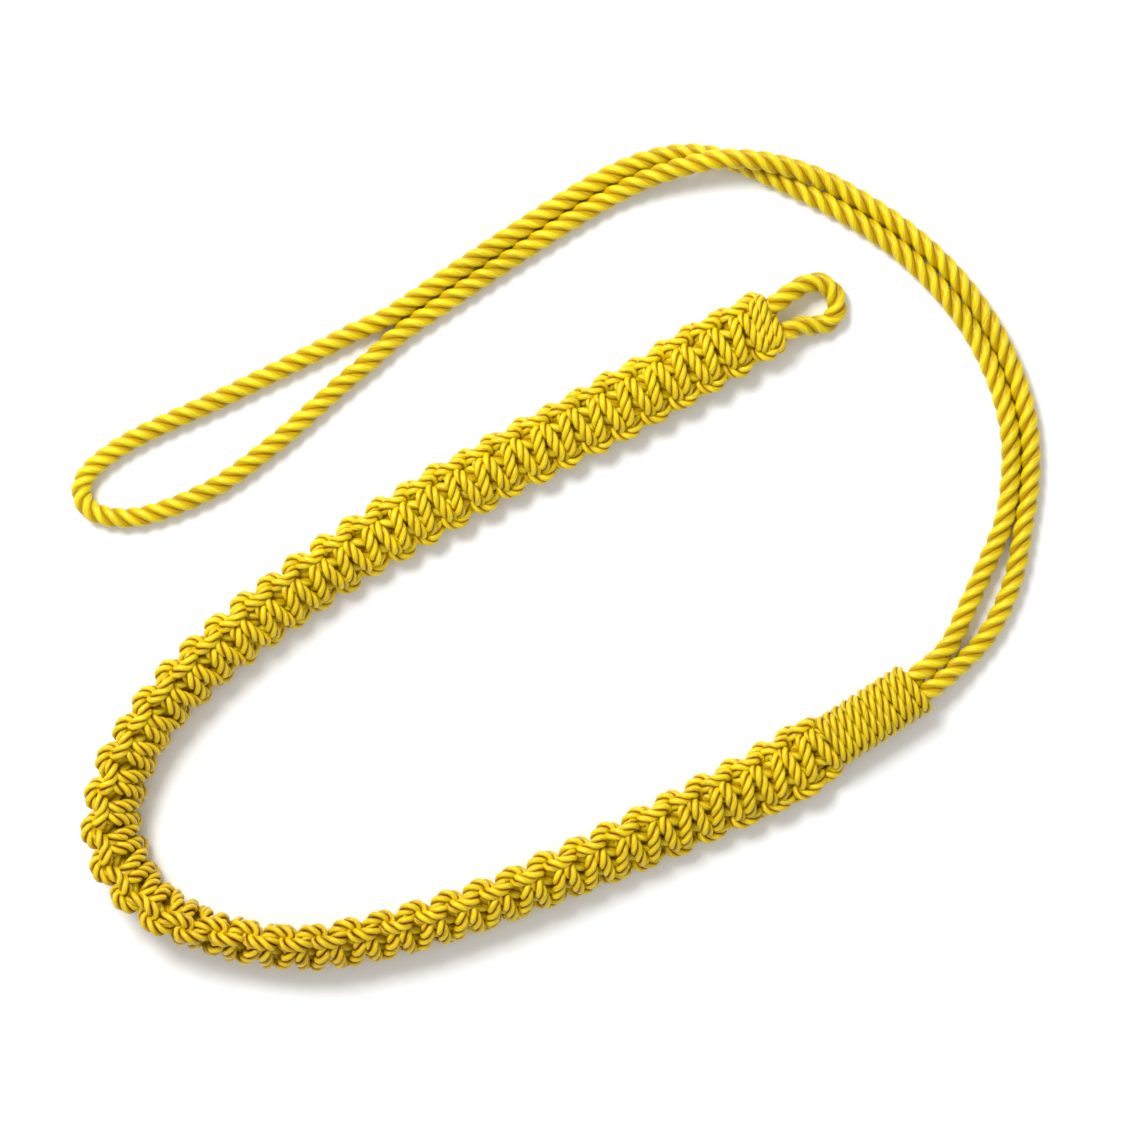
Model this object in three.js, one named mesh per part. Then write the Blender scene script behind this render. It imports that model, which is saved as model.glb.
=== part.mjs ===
// A ceremonial lanyard, laid out flat in an open curl on the surface z = 0, in millimetres.
// A thick laid cord is doubled. One end of the pair makes the long loop, its middle is the core of
// the knotted band, and its other end makes the small button eye. A thin working cord is tied round
// the core in square knots, starts in a wrap behind the eye and ends in a whipping at the long loop.
import * as THREE from 'three';

// Driving dimensions
const THICK_CORD = 4.9; // diameter of the laid cord of the loop, the core and the eye
const THIN_CORD = 3; // diameter of the working cord of the knots
const WHIPPING_CORD = 2.8; // the same cord where it is pulled tight, in the whipping and the wrap
const KNOTS = 50; // full square knots along the band
const EDGE_LOOP_REACH = 9.2; // from the band's middle to the outside of an edge loop
const EDGE_HOLLOW_REACH = 7.9; // the same in the hollow between two edge loops
const WRAP_REACH = 8.3; // half the width of the wrap behind the eye
const WRAP_TURNS = 2;
const WRAP_LENGTH = WRAP_TURNS * WHIPPING_CORD;
const WHIPPING_REACH = 7.4; // half the width of the whipping
const WHIPPING_TURNS = 10;
const WHIPPING_LENGTH = WHIPPING_TURNS * WHIPPING_CORD;
const TURN_GROOVE = 0.5; // depth of the groove between two turns of cord
const BAR_GROOVE = 0.6; // depth of the hollow between two bars of a knot, on the band's faces
const GAP = 0.3; // left between two pieces that touch
const CORD_SIDES = 12;
const CORD_CORNER = THICK_CORD / 2 / Math.cos(Math.PI / CORD_SIDES); // a laid cord's middle to its corners
const LAYING_HEIGHT = CORD_CORNER; // height of a cord's middle where it lies on the surface
const CORE_HEIGHT = THICK_CORD / 2 + THIN_CORD; // the same where the working cord is under it

// The middle line of the wrap, the band and the whipping, from the eye to the long loop
const SPINE_ROUTE = [
  [56.4, 61.4],
  [42, 53.3],
  [15.2, 38.3],
  [-12.1, 24.1],
  [-38.8, 9],
  [-64.5, -7.8],
  [-88.8, -26.7],
  [-102.9, -41.8],
  [-110.9, -56],
  [-113, -71.2],
  [-105, -86.4],
  [-87.4, -96.2],
  [-63.4, -100],
  [-33.4, -94.2],
  [2.7, -80.9],
  [30.7, -68.4],
  [58.1, -55],
  [69.9, -47.6],
  [93.5, -32.4],
];

// How the band turns over on its way: roll is in degrees, 0 with its first face up, 90 with the
// outer edge of the curl on top. Lean is how far a knot's outer end runs ahead of its inner end,
// as a share of one knot.
const BAND_STATIONS = [
  { at: 0, roll: 8, lean: -0.45 },
  { at: 102, roll: 12, lean: -0.4 },
  { at: 130, roll: 24, lean: -0.2 },
  { at: 166, roll: 40, lean: 0.1 },
  { at: 190, roll: 48, lean: 0.2 },
  { at: 230, roll: 48, lean: 0.25 },
  { at: 250, roll: 60, lean: 0.28 },
  { at: 272, roll: 90, lean: 0.3 },
  { at: 294, roll: 114, lean: 0.34 },
  { at: 322, roll: 126, lean: 0.34 },
  { at: 346, roll: 138, lean: 0.34 },
  { at: 384, roll: 156, lean: 0.34 },
  { at: 410, roll: 170, lean: 0.34 },
  { at: 428, roll: 180, lean: 0.34 },
];

// The long loop's cord, from the whipping round the bight and back: x, y and the height of its middle
const LOOP_ROUTE = [
  [95.6, -34.1, CORE_HEIGHT],
  [100.4, -30.8, 4.6],
  [108.2, -23.8, 2.8],
  [117.2, -5.9, LAYING_HEIGHT],
  [121.6, 16, LAYING_HEIGHT],
  [120.4, 39.2, LAYING_HEIGHT],
  [111, 61.6, LAYING_HEIGHT],
  [96, 79.5, LAYING_HEIGHT],
  [76, 93.2, 2.6],
  [63.4, 98.6, 5.4],
  [43.6, 101.6, 7.8],
  [24.4, 96.8, 5],
  [12, 91.2, 2.6],
  [-19, 71.4, LAYING_HEIGHT],
  [-50.1, 48.5, LAYING_HEIGHT],
  [-73.2, 28.4, LAYING_HEIGHT],
  [-89.9, 16.7, LAYING_HEIGHT],
  [-109.1, 10, LAYING_HEIGHT],
  [-118.5, 11.3, LAYING_HEIGHT],
  [-121.3, 13.9, LAYING_HEIGHT],
  [-122.1, 17, LAYING_HEIGHT],
  [-121.2, 20.1, LAYING_HEIGHT],
  [-119, 22.9, LAYING_HEIGHT],
  [-110.4, 29.2, LAYING_HEIGHT],
  [-82.7, 42.3, LAYING_HEIGHT],
  [-46.2, 60.9, LAYING_HEIGHT],
  [-13, 81.8, LAYING_HEIGHT],
  [13, 97.7, LAYING_HEIGHT],
  [24, 102.4, LAYING_HEIGHT],
  [34, 103.6, LAYING_HEIGHT],
  [44, 101.8, LAYING_HEIGHT],
  [62.5, 93.6, LAYING_HEIGHT],
  [87.6, 77.6, LAYING_HEIGHT],
  [107, 55.4, LAYING_HEIGHT],
  [115.6, 33, LAYING_HEIGHT],
  [115.5, 17, LAYING_HEIGHT],
  [110.9, 0.4, LAYING_HEIGHT],
  [103, -17.4, 2.7],
  [97.2, -25.8, 4.4],
  [92.8, -29.7, CORE_HEIGHT],
];
// The share of the cross-sections against the share of the length: they lie closer in the bight
const LOOP_PACE = [
  { at: 0, length: 0 },
  { at: 0.36, length: 0.455 },
  { at: 0.66, length: 0.54 },
  { at: 1, length: 1 },
];
const LOOP_STEPS = 80;

// The button eye's cord, from the wrap round and back
const EYE_ROUTE = [
  [55.6, 64.4, CORE_HEIGHT],
  [58, 66.2, 5.2],
  [62.3, 69.1, 4.4],
  [66.4, 70.4, 3.5],
  [69.6, 69.2, 2.8],
  [71.5, 66.6, LAYING_HEIGHT],
  [71.8, 63.4, LAYING_HEIGHT],
  [70.2, 60.6, LAYING_HEIGHT],
  [67.2, 59.3, 3],
  [63.2, 59.1, 4.4],
  [60.6, 58.5, 5.2],
  [59.2, 57.8, CORE_HEIGHT],
];
const EYE_STEPS = 24;

// Materials
const cordFinish = () =>
  new THREE.MeshStandardMaterial({ color: 0xf2c80a, roughness: 0.42, metalness: 0 });
const knotFinish = () =>
  new THREE.MeshStandardMaterial({ color: 0xe8ba08, roughness: 0.48, metalness: 0 });

// The value of one column of a table at a place along it, on straight lines between its rows
function reading(table, place, column) {
  const next = table.findIndex((row) => row.at >= place);
  if (next === 0) return table[0][column];
  if (next < 0) return table[table.length - 1][column];
  const [before, after] = [table[next - 1], table[next]];
  const share = (place - before.at) / (after.at - before.at);
  return before[column] + share * (after[column] - before[column]);
}

// A smooth curve through a route that never dips under its lowest height. It can put its sections
// closer together on part of its length.
class CordRoute extends THREE.CatmullRomCurve3 {
  constructor(route, lowest, pace) {
    super(route.map(([x, y, z]) => new THREE.Vector3(x, y, z)), false, 'centripetal');
    this.lowest = lowest;
    this.pace = pace;
    this.arcLengthDivisions = 2000;
  }

  getPoint(share, target) {
    const point = super.getPoint(share, target);
    return point.setZ(Math.max(point.z, this.lowest));
  }

  getUtoTmapping(share, distance) {
    const paced = this.pace ? reading(this.pace, share, 'length') : share;
    return super.getUtoTmapping(paced, distance);
  }
}

// A laid cord's outline: a polygon whose flats touch the circle of the cord
function cordOutline() {
  const outline = new THREE.Shape();
  for (let side = 0; side < CORD_SIDES; side++) {
    const angle = ((side + 0.5) * 2 * Math.PI) / CORD_SIDES;
    const [x, y] = [CORD_CORNER * Math.cos(angle), CORD_CORNER * Math.sin(angle)];
    if (side === 0) outline.moveTo(x, y);
    else outline.lineTo(x, y);
  }
  outline.closePath();
  return outline;
}

function cordAlong(route, steps, pace) {
  const extrudePath = new CordRoute(route, LAYING_HEIGHT, pace);
  return new THREE.ExtrudeGeometry(cordOutline(), { steps, extrudePath, bevelEnabled: false });
}

// A closed skin through rings of equal count, with a fan over each end
function skinThrough(rings) {
  const count = rings[0].length;
  const positions = rings.flat().flatMap((point) => point.toArray());
  const faces = [];
  for (let ring = 0; ring < rings.length - 1; ring++) {
    for (let corner = 0; corner < count; corner++) {
      const [a, b] = [ring * count + corner, ring * count + ((corner + 1) % count)];
      faces.push(a, b + count, b, a, a + count, b + count);
    }
  }
  const last = (rings.length - 1) * count;
  for (let corner = 1; corner < count - 1; corner++) {
    faces.push(0, corner, corner + 1, last, last + corner + 1, last + corner);
  }
  const skin = new THREE.BufferGeometry();
  skin.setAttribute('position', new THREE.Float32BufferAttribute(positions, 3));
  skin.setIndex(faces);
  skin.computeVertexNormals();
  return skin;
}

// The corners of a flattened round section: across is along the band's width, through is its depth
const SECTION_SIDES = 12;
const ACROSS_POWER = 0.9;
const THROUGH_POWER = 0.8;
const sectionCorners = Array.from({ length: SECTION_SIDES }, (_, side) => {
  const angle = ((side + 0.5) * 2 * Math.PI) / SECTION_SIDES;
  const widest = Math.cos(Math.PI / SECTION_SIDES);
  const bent = (value, power) => Math.sign(value) * (Math.abs(value) / widest) ** power;
  return { across: bent(Math.cos(angle), ACROSS_POWER), through: bent(Math.sin(angle), THROUGH_POWER) };
});

const spine = new CordRoute(SPINE_ROUTE.map(([x, y]) => [x, y, 0]), 0);
const spineLength = spine.getLength();

// One ring of a skin round the spine. reachOf gives the half-width on each edge, and depth is the
// half-thickness. Every ring stands at the height of the fullest one, widest by CORE_HEIGHT, so a
// groove in the underside stays clear of the surface.
function ringAt(place, widest, reachOf, depth) {
  const share = place / spineLength;
  const middle = spine.getPointAt(share);
  const along = spine.getTangentAt(share);
  const roll = THREE.MathUtils.degToRad(reading(BAND_STATIONS, place, 'roll'));
  const outwards = new THREE.Vector3(along.y, -along.x, 0);
  const up = new THREE.Vector3(0, 0, 1);
  const across = outwards.clone().multiplyScalar(Math.cos(roll)).addScaledVector(up, Math.sin(roll));
  const through = outwards.clone().multiplyScalar(-Math.sin(roll)).addScaledVector(up, Math.cos(roll));
  const lowest = sectionCorners.map(
    (corner) => corner.across * widest * across.z + corner.through * CORE_HEIGHT * through.z
  );
  middle.z = -Math.min(...lowest);
  return sectionCorners.map((corner) =>
    middle
      .clone()
      .addScaledVector(across, corner.across * reachOf(Math.sign(corner.across)))
      .addScaledVector(through, corner.through * depth)
  );
}

function eyeWrap() {
  const rings = [];
  for (let step = 0; step <= 2 * WRAP_TURNS; step++) {
    const groove = step % 2 === 0 ? TURN_GROOVE : 0;
    const place = (step * WRAP_LENGTH) / (2 * WRAP_TURNS);
    rings.push(ringAt(place, WRAP_REACH, () => WRAP_REACH - groove, CORE_HEIGHT - groove));
  }
  return skinThrough(rings);
}

// Each knot shows two bars across the band. The edge loops of the outer edge stand opposite the
// hollows of the inner edge, and a knot's lean moves them apart along the band.
function knottedBand() {
  const start = WRAP_LENGTH + GAP;
  const end = spineLength - WHIPPING_LENGTH - GAP;
  const knot = (end - start) / KNOTS;
  const ringsPerKnot = 4;
  const middleReach = (EDGE_LOOP_REACH + EDGE_HOLLOW_REACH) / 2;
  const swing = (EDGE_LOOP_REACH - EDGE_HOLLOW_REACH) / 2;
  const rings = [];
  for (let step = 0; step <= KNOTS * ringsPerKnot; step++) {
    const place = start + (step * knot) / ringsPerKnot;
    const lean = reading(BAND_STATIONS, place, 'lean');
    const reachOf = (edge) => {
      const phase = step / ringsPerKnot - (edge * lean) / 2 - (edge < 0 ? 0.5 : 0);
      return middleReach + swing * Math.cos(2 * Math.PI * phase);
    };
    const groove = step % 2 === 0 ? BAR_GROOVE : 0;
    rings.push(ringAt(place, EDGE_LOOP_REACH, reachOf, CORE_HEIGHT - groove));
  }
  return skinThrough(rings);
}

// The turns show as ribs on the top and the sides. The underside is flat where it rests.
function whipping() {
  const start = spineLength - WHIPPING_LENGTH;
  const rings = [];
  for (let step = 0; step <= 2 * WHIPPING_TURNS; step++) {
    const groove = step % 2 === 0 ? TURN_GROOVE : 0;
    const place = start + (step * WHIPPING_LENGTH) / (2 * WHIPPING_TURNS);
    const ring = ringAt(place, WHIPPING_REACH, () => WHIPPING_REACH - groove, CORE_HEIGHT);
    const top = 2 * CORE_HEIGHT - groove;
    rings.push(ring.map((point) => point.setZ(Math.min(point.z, top))));
  }
  return skinThrough(rings);
}

function piece(name, geometry, finish) {
  const mesh = new THREE.Mesh(geometry, finish);
  mesh.name = name;
  return mesh;
}

const lanyard = new THREE.Group();
lanyard.add(
  piece('button_eye', cordAlong(EYE_ROUTE, EYE_STEPS), cordFinish()),
  piece('eye_wrap', eyeWrap(), knotFinish()),
  piece('knotted_band', knottedBand(), knotFinish()),
  piece('whipping', whipping(), knotFinish()),
  piece('long_loop', cordAlong(LOOP_ROUTE, LOOP_STEPS, LOOP_PACE), cordFinish())
);

export default lanyard;
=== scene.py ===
# %% [markdown]
# A ceremonial lanyard, laid out flat. It is made of two cords only. A thick laid cord of golden
# viscose is doubled: one end of the pair is the long loop, the other the small button eye, and the
# stretch between them is the core of the band. A thin laid cord of the same thread is tied round
# that core in square knots. So almost everything here is one thing done many times: a path in
# space, and three strands laid round it. The script draws the paths, pulls the knot tight, and
# leaves the laying of the strands to one Geometry Nodes tree.

# %% The frame
import bpy
import numpy as np
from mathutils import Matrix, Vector


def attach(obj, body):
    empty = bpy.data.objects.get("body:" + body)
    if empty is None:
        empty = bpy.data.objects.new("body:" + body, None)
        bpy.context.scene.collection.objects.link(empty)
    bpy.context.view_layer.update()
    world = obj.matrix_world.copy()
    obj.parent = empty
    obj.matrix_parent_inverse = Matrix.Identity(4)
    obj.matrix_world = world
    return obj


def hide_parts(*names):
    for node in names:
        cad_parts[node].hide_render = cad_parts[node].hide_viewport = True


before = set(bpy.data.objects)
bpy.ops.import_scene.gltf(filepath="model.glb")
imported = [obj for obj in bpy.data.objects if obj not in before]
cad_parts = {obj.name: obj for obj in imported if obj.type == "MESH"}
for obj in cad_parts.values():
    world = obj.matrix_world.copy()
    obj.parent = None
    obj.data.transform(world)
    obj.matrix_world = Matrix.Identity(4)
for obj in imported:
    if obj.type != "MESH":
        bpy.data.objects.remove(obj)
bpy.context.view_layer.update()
print("solids:", sorted(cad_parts))

# %% [markdown]
# The picture looks straight down on the lanyard. A long lens from well above keeps the two ends of
# the band the same size, as in a catalogue photograph. The scene is small, so the clip distance is
# set too. The view transform is the plain one, because the yellow is bright and a film curve would
# wash it out.

# %% The camera
MM = 0.001
PICTURE_WIDTH = 288.8 * MM
PICTURE_MIDDLE = (1.8 * MM, -1.9 * MM)
FOCUS_HEIGHT = 5 * MM
LENS = 135
SENSOR = 36
CLIP_START = 10 * MM

camera = bpy.data.objects.new("camera", bpy.data.cameras.new("camera"))
bpy.context.scene.collection.objects.link(camera)
camera.data.lens = LENS
camera.data.sensor_width = SENSOR
camera.data.clip_start = CLIP_START
camera.location = (*PICTURE_MIDDLE, FOCUS_HEIGHT + PICTURE_WIDTH * LENS / SENSOR)
bpy.context.scene.camera = camera
bpy.context.scene.view_settings.view_transform = "Standard"
print("camera height in mm:", round(1000 * camera.location.z))

# %% [markdown]
# The thick cord lies loose on the table, so its route is a list of given places, the same ones that
# its plain tube was drawn through. A centripetal Catmull-Rom curve joins them, because it goes
# through every point and makes no loops where the points lie close together, as in the bight.
# A laid cord isn't a smooth tube: its crowns stand a little outside the size it is sold by, and lie
# on the table. The curve is later cut into even steps, so that the strands are equally fine all along.

# %% Smooth lines
THICK_CROWNS = 5.35 * MM


def smooth_line(route, steps=30):
    """A smooth curve through the points of a route, with so many steps from one to the next."""
    points = np.vstack([2 * route[0] - route[1], route, 2 * route[-1] - route[-2]])
    share = np.linspace(0, 1, steps, endpoint=False)[:, None]
    line = []
    for before, start, end, after in zip(points, points[1:], points[2:], points[3:]):
        first, middle, last = (
            np.linalg.norm(b - a) ** 0.5 for a, b in ((before, start), (start, end), (end, after))
        )
        leave = (start - before) / first - (end - before) / (first + middle) + (end - start) / middle
        arrive = (end - start) / middle - (after - start) / (middle + last) + (after - end) / last
        leave, arrive = leave * middle, arrive * middle
        square = 3 * (end - start) - 2 * leave - arrive
        cube = 2 * (start - end) + leave + arrive
        line.append(start + leave * share + square * share**2 + cube * share**3)
    return np.vstack([*line, route[-1:]])


def lengths_along(line):
    """How far along a line each of its points lies."""
    return np.concatenate([[0], np.cumsum(np.linalg.norm(np.diff(line, axis=0), axis=1))])


def even_steps(line, step):
    """The same line with its points a step apart."""
    along = lengths_along(line)
    places = np.linspace(0, along[-1], int(round(along[-1] / step)) + 1)
    return np.stack([np.interp(places, along, line[:, axis]) for axis in range(3)], axis=1)


def laid_on_table(route):
    """The middle line of a thick cord that lies on the table along a route in millimetres."""
    line = smooth_line(np.array(route, float) * MM)
    line[:, 2] = np.maximum(line[:, 2], THICK_CROWNS / 2)
    return line


# %% The thick cord's two free stretches
# all in mm. The two heights are those of the plain tube's middle, on the table and inside the band.
LAYING_HEIGHT = 2.54
CORE_HEIGHT = 5.45
LOOP_ROUTE = [
    (95.6, -34.1, CORE_HEIGHT),
    (100.4, -30.8, 4.6),
    (108.2, -23.8, 2.8),
    (117.2, -5.9, LAYING_HEIGHT),
    (121.6, 16, LAYING_HEIGHT),
    (120.4, 39.2, LAYING_HEIGHT),
    (111, 61.6, LAYING_HEIGHT),
    (96, 79.5, LAYING_HEIGHT),
    (76, 93.2, 2.6),
    (63.4, 98.6, 5.4),
    (43.6, 101.6, 7.8),
    (24.4, 96.8, 5),
    (12, 91.2, 2.6),
    (-19, 71.4, LAYING_HEIGHT),
    (-50.1, 48.5, LAYING_HEIGHT),
    (-73.2, 28.4, LAYING_HEIGHT),
    (-89.9, 16.7, LAYING_HEIGHT),
    (-109.1, 10, LAYING_HEIGHT),
    (-118.5, 11.3, LAYING_HEIGHT),
    (-121.3, 13.9, LAYING_HEIGHT),
    (-122.1, 17, LAYING_HEIGHT),
    (-121.2, 20.1, LAYING_HEIGHT),
    (-119, 22.9, LAYING_HEIGHT),
    (-110.4, 29.2, LAYING_HEIGHT),
    (-82.7, 42.3, LAYING_HEIGHT),
    (-46.2, 60.9, LAYING_HEIGHT),
    (-13, 81.8, LAYING_HEIGHT),
    (13, 97.7, LAYING_HEIGHT),
    (24, 102.4, LAYING_HEIGHT),
    (34, 103.6, LAYING_HEIGHT),
    (44, 101.8, LAYING_HEIGHT),
    (62.5, 93.6, LAYING_HEIGHT),
    (87.6, 77.6, LAYING_HEIGHT),
    (107, 55.4, LAYING_HEIGHT),
    (115.6, 33, LAYING_HEIGHT),
    (115.5, 17, LAYING_HEIGHT),
    (110.9, 0.4, LAYING_HEIGHT),
    (103, -17.4, 2.7),
    (97.2, -25.8, 4.4),
    (92.8, -29.7, CORE_HEIGHT),
]
EYE_ROUTE = [
    (55.6, 64.4, CORE_HEIGHT),
    (58, 66.2, 5.2),
    (62.3, 69.1, 4.4),
    (66.4, 70.4, 3.5),
    (69.6, 69.2, 2.8),
    (71.5, 66.6, LAYING_HEIGHT),
    (71.8, 63.4, LAYING_HEIGHT),
    (70.2, 60.6, LAYING_HEIGHT),
    (67.2, 59.3, 3),
    (63.2, 59.1, 4.4),
    (60.6, 58.5, 5.2),
    (59.2, 57.8, CORE_HEIGHT),
]
loop_line = laid_on_table(LOOP_ROUTE)
eye_line = laid_on_table(EYE_ROUTE)
print("long loop in mm:", round(1000 * lengths_along(loop_line)[-1], 1))
print("button eye in mm:", round(1000 * lengths_along(eye_line)[-1], 1))

# %% [markdown]
# Viscose thread is shiny and a little see-through, so light goes into the cord, bounces between the
# threads and comes out a deeper orange from the grooves, which also lie in shade. The shader paints
# that light and shade into the colour: it runs from yellow on the crown of a strand to a brown gold
# in the groove beside it, by an attribute that the strands carry. The threads themselves are a fine
# bump and fine lighter and darker streaks, stretched along the strand in the strand's own
# coordinates, so that they turn with it. The whipping is wound hard and half of it faces away from
# the lamp, so its cord is painted duller, as painted shade.

# %% Shader helpers


def add_node(tree, kind, label, **settings):
    """A new node of a tree, with its settings and its unlinked inputs by name or number."""
    node = tree.nodes.new(kind)
    node.label = label
    inputs = settings.pop("inputs", {})
    for name, value in settings.items():
        setattr(node, name, value)
    for name, value in inputs.items():
        node.inputs[name].default_value = value
    return node


def colour_steps(ramp, steps):
    """Sets the stops of a colour ramp: pairs of a place and a colour."""
    elements = ramp.color_ramp.elements
    while len(elements) < len(steps):
        elements.new(1)
    for element, (place, colour) in zip(elements, steps):
        element.position = place
        element.color = (*colour, 1)


# %% The viscose cord's finish
CROWN = (0.82, 0.64, 0.006)
SHOULDER_SHADE = (0.76, 0.52, 0.004)
DEEP_GOLD_SHADE = (0.57, 0.385, 0.002)
FLANK_SHADE = (0.5, 0.26, 0.002)
GROOVE_SHADE = (0.18, 0.062, 0.001)
# how far out from the cord's middle each tone of the painted shade lies, darker towards the grooves.
# The thick cord's wide grooves let in more light, so a broad band of deep gold is painted there.
THIN_SHADE_STEPS = ((0.5, GROOVE_SHADE), (0.72, FLANK_SHADE), (0.88, SHOULDER_SHADE), (0.98, CROWN))
THICK_SHADE_STEPS = ((0.42, GROOVE_SHADE), (0.6, FLANK_SHADE), (0.91, DEEP_GOLD_SHADE), (0.985, CROWN))
SHEEN_OF_THE_DYE = (1, 0.92, 0.4, 1)
SHEEN_STRENGTH = 0.6
ROUGHNESS = 0.34
# threads side by side, streaks one after another along them, and patches of uneven dye
THREADS_PER_MM = 3.2
STREAKS_PER_MM = 0.22
PATCHES_PER_METRE = 60
# a noise texture keeps mostly between two values, which become the faintest and the strongest colour
NOISE_SPREAD = (0.3, 0.7)
DYE_STRENGTH = (0.9, 1.06)
THREAD_STRENGTH = (0.66, 1.14)


def strength_of(tree, label, noise, faintest, strongest):
    """How strong the colour is where a noise texture has its low and its high values."""
    strength = add_node(
        tree, "ShaderNodeMapRange", label,
        inputs={
            "From Min": NOISE_SPREAD[0],
            "From Max": NOISE_SPREAD[1],
            "To Min": faintest,
            "To Max": strongest,
        },
    )
    tree.links.new(noise.outputs["Fac"], strength.inputs["Value"])
    return strength.outputs["Result"]


def viscose(name, steps, brightness, thread_depth):
    """The finish of a laid cord, its colour painted with shade from the groove to the crown."""
    material = bpy.data.materials.new(name)
    material.use_nodes = True
    tree = material.node_tree
    link = tree.links.new
    shader = tree.nodes["Principled BSDF"]
    shader.inputs["Roughness"].default_value = ROUGHNESS
    shader.inputs["Specular IOR Level"].default_value = SHEEN_STRENGTH
    shader.inputs["Specular Tint"].default_value = SHEEN_OF_THE_DYE

    # painted shade: the colour darkens towards the grooves between strands, by how far out from the cord's
    # middle a point lies
    depth = add_node(tree, "ShaderNodeAttribute", "crown or groove, for painted shade", attribute_name="crown")
    shade_tones = add_node(tree, "ShaderNodeValToRGB", "painted shade from groove to crown")
    colour_steps(shade_tones, steps)
    link(depth.outputs["Fac"], shade_tones.inputs["Fac"])

    place = add_node(tree, "ShaderNodeTexCoord", "place on the lanyard")
    patches = add_node(
        tree, "ShaderNodeTexNoise", "uneven dye", inputs={"Scale": PATCHES_PER_METRE, "Detail": 2},
    )
    link(place.outputs["Object"], patches.inputs["Vector"])

    threads_at = add_node(tree, "ShaderNodeAttribute", "thread coordinates", attribute_name="thread_space")
    stretch = add_node(tree, "ShaderNodeMapping", "long thin threads")
    stretch.inputs["Scale"].default_value = (THREADS_PER_MM / MM, THREADS_PER_MM / MM, STREAKS_PER_MM / MM)
    link(threads_at.outputs["Vector"], stretch.inputs["Vector"])
    threads = add_node(
        tree, "ShaderNodeTexNoise", "threads", inputs={"Scale": 1, "Detail": 3, "Roughness": 0.6},
    )
    link(stretch.outputs["Vector"], threads.inputs["Vector"])

    dye_range = (brightness * strength for strength in DYE_STRENGTH)
    dye = strength_of(tree, "dye strength", patches, *dye_range)
    thread = strength_of(tree, "thread strength", threads, *THREAD_STRENGTH)
    both = add_node(tree, "ShaderNodeMath", "both together", operation="MULTIPLY")
    link(dye, both.inputs[0])
    link(thread, both.inputs[1])
    coloured = add_node(tree, "ShaderNodeVectorMath", "dyed thread", operation="SCALE")
    link(shade_tones.outputs["Color"], coloured.inputs["Vector"])
    link(both.outputs["Value"], coloured.inputs["Scale"])
    link(coloured.outputs["Vector"], shader.inputs["Base Color"])

    relief = add_node(
        tree, "ShaderNodeBump", "thread relief", inputs={"Strength": 1, "Distance": thread_depth},
    )
    link(threads.outputs["Fac"], relief.inputs["Height"])
    link(relief.outputs["Normal"], shader.inputs["Normal"])
    return material


thick_finish = viscose("golden viscose, thick cord", THICK_SHADE_STEPS, brightness=1.04, thread_depth=0.13 * MM)
thin_finish = viscose("golden viscose, thin cord", THIN_SHADE_STEPS, brightness=1, thread_depth=0.1 * MM)
# painted shade: the whipping's cord is painted a tenth darker, because half of it faces away from the lamp
whipping_shade_finish = viscose("golden viscose, whipping in painted shade", THIN_SHADE_STEPS, brightness=0.9, thread_depth=0.1 * MM)
print("materials:", [material.name for material in bpy.data.materials])

# %% [markdown]
# A laid cord is three round strands wound round each other, here to the right, which rope makers
# call a Z lay. It could be a tube with a twisted bump, but then its outline would stay smooth, and
# the edge of a real cord is scalloped. So the strands are real. One Geometry Nodes tree does it for
# every cord: it takes the bare path, makes three copies of it, moves each copy off the middle along
# the path's normal, turned a little further at every step, and sweeps a circle along it. A path
# carries two notes for the tree: where the cord is twisted further, and where it stands fuller. Each
# point of the strands keeps two for the shader: its place on the strand, and how far out it lies.

# %% Helpers for the laying tree


def field(tree, kind, output):
    """An output of a new node that has nothing to set."""
    return tree.nodes.new(kind).outputs[output]


def field_math(tree, operation, first, second):
    """A math node on two fields or numbers, and its output."""
    node = tree.nodes.new("ShaderNodeMath")
    node.operation = operation
    for socket, value in zip(node.inputs, (first, second)):
        if isinstance(value, (int, float)):
            socket.default_value = value
        else:
            tree.links.new(value, socket)
    return node.outputs["Value"]


def turned(tree, vector, turns, axis=None):
    """A vector turned by a number of turns, about an axis or else about Z."""
    node = tree.nodes.new("ShaderNodeVectorRotate")
    node.rotation_type = "Z_AXIS" if axis is None else "AXIS_ANGLE"
    tree.links.new(vector, node.inputs["Vector"])
    if axis is not None:
        tree.links.new(axis, node.inputs["Axis"])
    tree.links.new(field_math(tree, "MULTIPLY", turns, 2 * np.pi), node.inputs["Angle"])
    return node.outputs["Vector"]


def path_note(tree, name):
    """A value that the path carries at each point, by its name."""
    node = add_node(tree, "GeometryNodeInputNamedAttribute", name, data_type="FLOAT", inputs={"Name": name})
    return node.outputs["Attribute"]


def kept(tree, geometry, data_type, name, value):
    """The geometry, and a value that its points keep from here on."""
    node = add_node(tree, "GeometryNodeCaptureAttribute", name, domain="POINT")
    node.capture_items.new(data_type, name)
    tree.links.new(geometry, node.inputs["Geometry"])
    tree.links.new(value, node.inputs[name])
    return node.outputs["Geometry"], node.outputs[name]


def noted(tree, geometry, data_type, name, value):
    """The geometry with a value stored at its points under a name, for the shader."""
    node = add_node(
        tree, "GeometryNodeStoreNamedAttribute", name, data_type=data_type, domain="POINT",
        inputs={"Name": name},
    )
    tree.links.new(geometry, node.inputs["Geometry"])
    tree.links.new(value, node.inputs["Value"])
    return node.outputs["Geometry"]


# %% The tree that lays a cord
STRANDS = 3
# as shares of the cord's radius: a strand's own radius, and how far it lies off the middle
STRAND_SHARE = 0.48
OFFSET_SHARE = 0.52


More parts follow.
